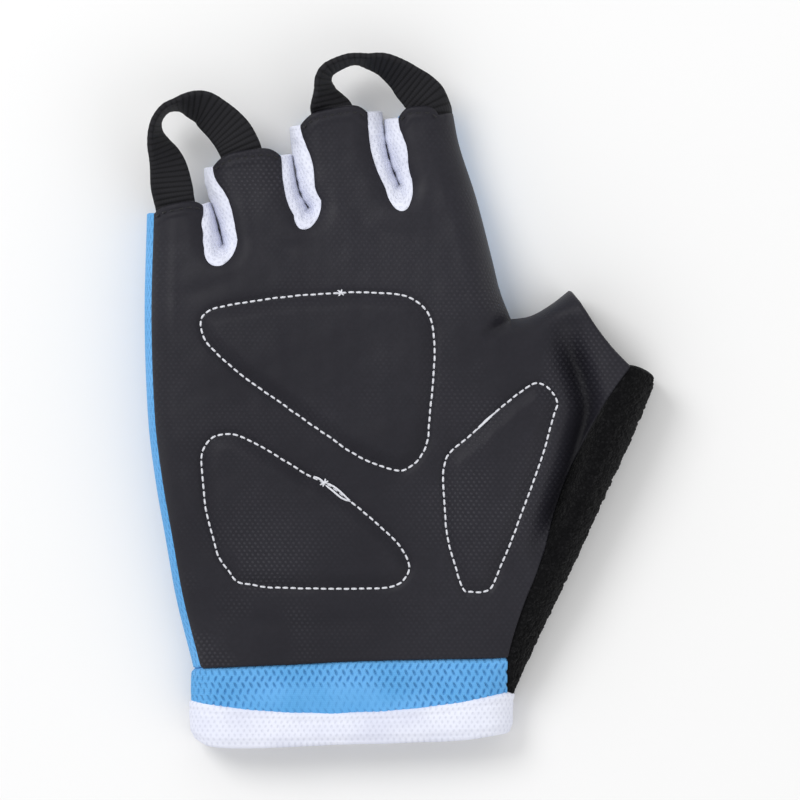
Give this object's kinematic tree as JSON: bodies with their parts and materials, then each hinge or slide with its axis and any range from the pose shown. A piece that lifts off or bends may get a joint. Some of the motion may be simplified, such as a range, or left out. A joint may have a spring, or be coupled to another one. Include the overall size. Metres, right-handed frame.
{
  "type": "half-finger training glove",
  "caption": "Half-finger training glove for the right hand with a padded palm, mesh back, finger gussets, terry thumb side, bound wrist and webbing pull loops.",
  "frame": {"origin": "under the middle of the glove, on the surface that it lies on", "axes": "+Y from the wrist to the fingers, +X towards the thumb, +Z out of the palm"},
  "size_m": [0.1278, 0.1732, 0.0235],
  "materials": {
    "leather": "matt dark grey synthetic leather with fine raised dots",
    "blue_mesh": "sky blue knitted mesh",
    "white_mesh": "white knitted mesh",
    "terry": "black terry cloth",
    "webbing": "black ribbed webbing"
  },
  "bodies": {
    "root": {"palm_panel": "leather", "back_panel": "blue_mesh", "gusset_little_ring": "white_mesh", "gusset_ring_middle": "white_mesh", "gusset_middle_index": "white_mesh", "thumb_terry": "terry", "cuff_band": "blue_mesh", "wrist_binding": "white_mesh", "pull_loop_little_ring": "webbing", "pull_loop_middle_index": "webbing"}
  },
  "joints": []
}
